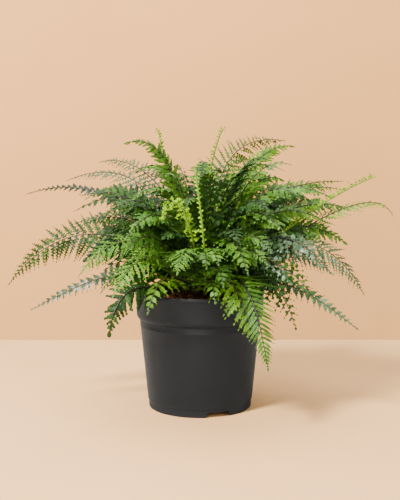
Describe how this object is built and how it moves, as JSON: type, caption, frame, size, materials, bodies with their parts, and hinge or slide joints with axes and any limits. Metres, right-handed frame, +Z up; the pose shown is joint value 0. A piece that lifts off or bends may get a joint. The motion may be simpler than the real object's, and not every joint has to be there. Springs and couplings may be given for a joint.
{
  "type": "potted fern",
  "caption": "A bushy fern with arching, feathery dark green fronds and pale young shoots, growing from a scaly crown in a round black nursery pot",
  "frame": {"origin": "on the ground at the middle of the pot, which is also the middle of the plant's spread", "axes": "+Z up; -Y is the front of the pot, the side the picture shows; +X is to the right seen from the front"},
  "size_m": [0.5629, 0.4099, 0.4116],
  "materials": {
    "pot_plastic": "matte black moulded polypropylene",
    "growing_mix": "damp coir and bark chips",
    "crown_scales": "dry brown scales",
    "frond_green": "glossy dark green leaf",
    "young_green": "soft lime green leaf"
  },
  "bodies": {
    "root": {"pot": "pot_plastic", "growing_mix": "growing_mix", "crown": "crown_scales", "frond_left_long": "frond_green", "frond_left_low": "frond_green", "frond_left_hanging": "frond_green", "frond_left_high": "frond_green", "frond_left_upper": "frond_green", "frond_left_back": "frond_green", "frond_left_middle": "frond_green", "frond_left_crest": "frond_green", "frond_right_crest": "frond_green", "frond_right_shoulder": "frond_green", "frond_right_high": "frond_green", "frond_right_far": "frond_green", "frond_right_broad": "frond_green", "frond_right_low": "frond_green", "frond_right_hanging": "frond_green", "frond_right_dark": "frond_green", "frond_right_middle": "frond_green", "frond_front_apron": "frond_green", "frond_front_lobed": "frond_green", "frond_front_middle": "frond_green", "frond_front_feather": "frond_green", "frond_front_left": "frond_green", "frond_front_right": "frond_green", "frond_inner_left": "frond_green", "frond_inner_right": "frond_green", "frond_inner_front": "frond_green", "frond_west_shoulder": "frond_green", "frond_east_shoulder": "frond_green", "frond_top_left": "frond_green", "frond_top_right": "frond_green", "frond_top_front": "frond_green", "frond_top_back": "frond_green", "frond_back_high": "frond_green", "frond_back_crest": "frond_green", "frond_back_shoulder": "frond_green", "frond_back_right": "frond_green", "frond_back_low_right": "frond_green", "frond_back_low": "frond_green", "frond_back_low_left": "frond_green", "frond_back_left": "frond_green", "frond_back_hanging": "frond_green", "shoot_left": "young_green", "shoot_right": "young_green", "shoot_far_right": "young_green", "young_frond_curled": "young_green", "young_frond_upright": "young_green"}
  },
  "joints": []
}
